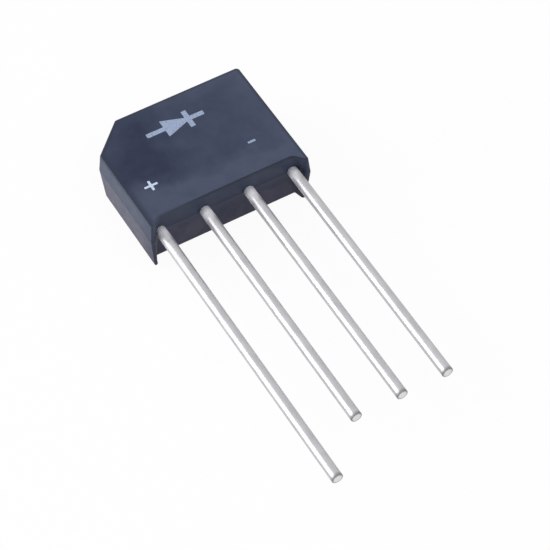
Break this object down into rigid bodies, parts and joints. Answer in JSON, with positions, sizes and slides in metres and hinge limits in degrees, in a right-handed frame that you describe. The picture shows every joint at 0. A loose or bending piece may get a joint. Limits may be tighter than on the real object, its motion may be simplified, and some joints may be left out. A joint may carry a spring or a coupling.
{
  "type": "bridge rectifier",
  "caption": "Black moulded in-line bridge rectifier block with a bevelled corner, two stand-off feet and round tinned leads, the positive one longer.",
  "frame": {"origin": "centre of the part's outline, on the plane that the back face rests on", "axes": "+X along the row of leads from positive to negative, +Y from the lead tips to the top of the body, +Z out of the marked face"},
  "size_m": [0.0184, 0.0482, 0.0063],
  "materials": {
    "moulding_compound": "matte",
    "tinned_copper": "satin",
    "silicon": "satin",
    "solder": "satin"
  },
  "bodies": {
    "root": {"moulded_body": "moulding_compound", "positive_lead": "tinned_copper", "ac_lead_1": "tinned_copper", "ac_lead_2": "tinned_copper", "negative_lead": "tinned_copper", "die_1": "silicon", "die_2": "silicon", "die_3": "silicon", "die_4": "silicon", "paddle_solder_1": "solder", "paddle_solder_2": "solder", "paddle_solder_3": "solder", "paddle_solder_4": "solder", "bar_solder_1": "solder", "bar_solder_2": "solder", "bar_solder_3": "solder", "bar_solder_4": "solder"}
  },
  "joints": []
}
